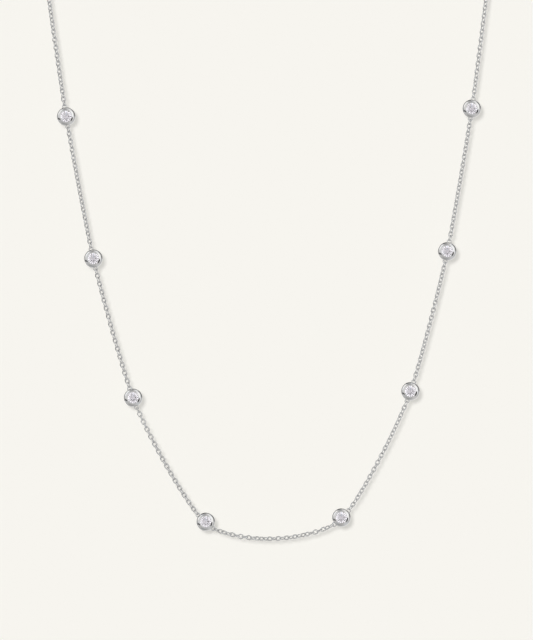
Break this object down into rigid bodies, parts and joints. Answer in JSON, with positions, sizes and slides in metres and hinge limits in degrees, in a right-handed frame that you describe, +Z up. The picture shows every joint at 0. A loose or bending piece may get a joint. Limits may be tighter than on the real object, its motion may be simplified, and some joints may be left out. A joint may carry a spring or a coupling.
{
  "type": "station necklace",
  "caption": "Fine cable-chain necklace with bezel-set round stones as stations, hanging as a closed loop with a ring clasp at the nape.",
  "frame": {"origin": "centre of the clasp's ring at the nape, where the necklace is held up", "axes": "+Z up, +X to the right as seen from the front, and -Y out of the front, which hangs in an upright plane"},
  "size_m": [0.1026, 0.0502, 0.1511],
  "materials": {
    "setting_metal": "polished white metal",
    "chain_metal": "polished white metal wire",
    "clasp_metal": "polished white metal",
    "stone": "faceted, clear"
  },
  "bodies": {
    "root": {"setting_1": "setting_metal", "setting_2": "setting_metal", "setting_3": "setting_metal", "setting_4": "setting_metal", "setting_5": "setting_metal", "setting_6": "setting_metal", "setting_7": "setting_metal", "setting_8": "setting_metal", "stone_1": "stone", "stone_2": "stone", "stone_3": "stone", "stone_4": "stone", "stone_5": "stone", "stone_6": "stone", "stone_7": "stone", "stone_8": "stone", "chain_left": "chain_metal", "chain_1": "chain_metal", "chain_2": "chain_metal", "chain_3": "chain_metal", "chain_4": "chain_metal", "chain_5": "chain_metal", "chain_6": "chain_metal", "chain_7": "chain_metal", "chain_right": "chain_metal", "clasp": "clasp_metal", "end_ring": "clasp_metal"}
  },
  "joints": []
}
